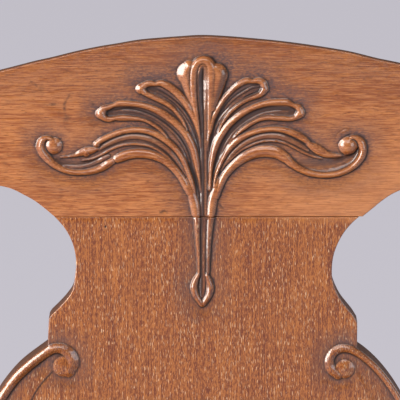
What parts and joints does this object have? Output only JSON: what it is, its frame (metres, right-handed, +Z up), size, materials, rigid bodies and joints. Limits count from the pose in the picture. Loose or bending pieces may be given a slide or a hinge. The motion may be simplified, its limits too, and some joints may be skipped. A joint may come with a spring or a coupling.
{
  "type": "wainscot chair",
  "caption": "Joined wooden armchair with a carved serpentine crest rail, shaped splat, plank seat, turned arm supports and box stretchers.",
  "frame": {"origin": "on the floor, under the middle of the chair's outline", "axes": "+Z up, -Y the way the sitter faces, +X the right-hand side seen from the front"},
  "size_m": [0.584, 0.5704, 1.0777],
  "materials": {
    "carved_wood": "waxed, dark in the carving",
    "splat_wood": "waxed, open pored",
    "frame_wood": "waxed",
    "turned_wood": "waxed, turned",
    "seat_wood": "waxed, worn",
    "peg_wood": "end grain"
  },
  "bodies": {
    "root": {"crest_rail": "carved_wood", "splat": "splat_wood", "lower_back_rail": "frame_wood", "stile_left": "frame_wood", "stile_right": "frame_wood", "arm_left": "frame_wood", "arm_right": "frame_wood", "front_leg_left": "turned_wood", "front_leg_right": "turned_wood", "seat_rail_front": "frame_wood", "seat_rail_back": "frame_wood", "seat_rail_left": "frame_wood", "seat_rail_right": "frame_wood", "seat_board_front": "seat_wood", "seat_board_middle": "seat_wood", "seat_board_back": "seat_wood", "stretcher_front": "frame_wood", "stretcher_back": "frame_wood", "stretcher_left": "frame_wood", "stretcher_right": "frame_wood", "crest_pegs": "peg_wood", "lower_back_rail_pegs": "peg_wood", "seat_rail_pegs": "peg_wood", "stretcher_pegs": "peg_wood", "arm_pegs": "peg_wood", "seat_board_pegs": "peg_wood"}
  },
  "joints": []
}
